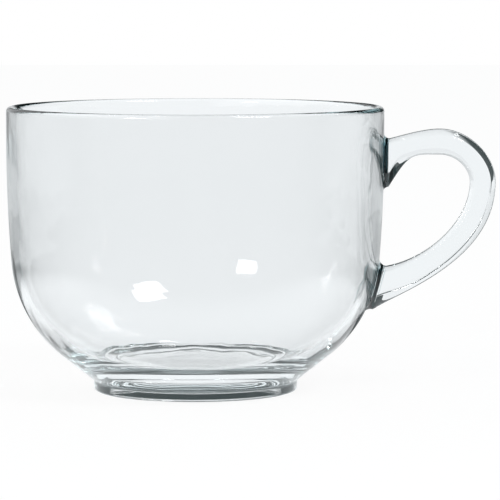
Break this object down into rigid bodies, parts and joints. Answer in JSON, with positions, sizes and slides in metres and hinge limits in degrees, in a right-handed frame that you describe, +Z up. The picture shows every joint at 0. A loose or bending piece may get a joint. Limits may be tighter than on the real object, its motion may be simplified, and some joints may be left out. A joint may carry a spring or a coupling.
{
  "type": "soup mug",
  "caption": "Wide clear glass soup mug: a round-bottomed pressed bowl on a low foot ring, with an ear-shaped glass handle fused to its side.",
  "frame": {"origin": "on the bowl's axis, in the plane of the foot ring that the mug stands on", "axes": "+Z up along the bowl's axis, +X towards the handle, Y across the handle"},
  "size_m": [0.1452, 0.112, 0.0845],
  "materials": {
    "bowl_glass": "clear soda-lime glass, fire-polished",
    "weld_glass": "clear soda-lime glass, remelted",
    "handle_glass": "clear soda-lime glass, pressed and fire-polished"
  },
  "bodies": {
    "root": {"bowl": "bowl_glass", "upper_weld": "weld_glass", "lower_weld": "weld_glass", "handle": "handle_glass"}
  },
  "joints": []
}
